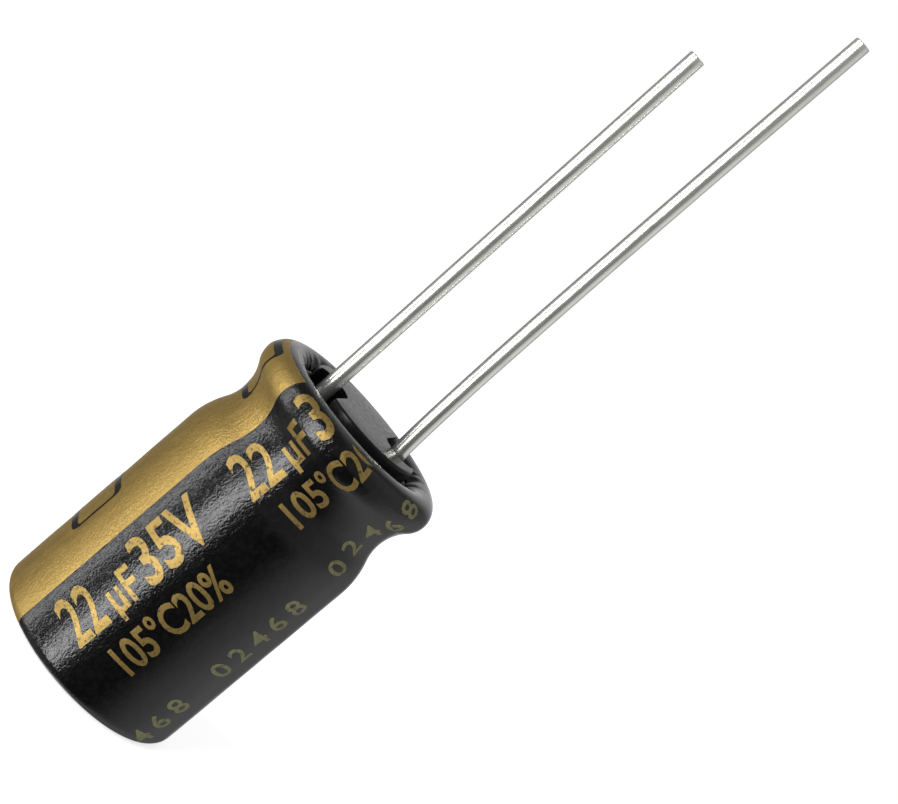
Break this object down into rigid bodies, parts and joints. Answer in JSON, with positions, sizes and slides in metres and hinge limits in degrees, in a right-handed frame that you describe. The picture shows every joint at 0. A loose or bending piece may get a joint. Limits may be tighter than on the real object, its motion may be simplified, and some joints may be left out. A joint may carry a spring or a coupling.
{
  "type": "radial electrolytic capacitor",
  "caption": "Sleeved aluminium can capacitor with a gold polarity stripe, a rubber end seal and two straight leads, the positive one longer.",
  "frame": {"origin": "middle of the closed end's underside, on the surface that the part stands on", "axes": "+Z along the can's axis towards the leads; +X from the axis towards the long positive lead; the gold stripe and the short negative lead are at -X"},
  "size_m": [0.0084, 0.0084, 0.0348],
  "materials": {
    "sleeve_film": "shrunk glossy film, near black, with a gold stripe",
    "can_aluminium": "drawn, bright",
    "seal_rubber": "moulded, satin",
    "tinned_wire": "bright tin plate",
    "tab_aluminium": "pressed, plain",
    "formed_foil": "etched and formed, matt",
    "plain_foil": "etched, matt",
    "separator_paper": "porous paper, damp with electrolyte",
    "tape_film": "plain film"
  },
  "bodies": {
    "root": {"sleeve": "sleeve_film", "can": "can_aluminium", "end_seal": "seal_rubber", "anode_lead": "tinned_wire", "cathode_lead": "tinned_wire", "anode_tab": "tab_aluminium", "cathode_tab": "tab_aluminium", "anode_foil": "formed_foil", "cathode_foil": "plain_foil", "inner_separator": "separator_paper", "outer_separator": "separator_paper", "winding_tape": "tape_film"}
  },
  "joints": []
}
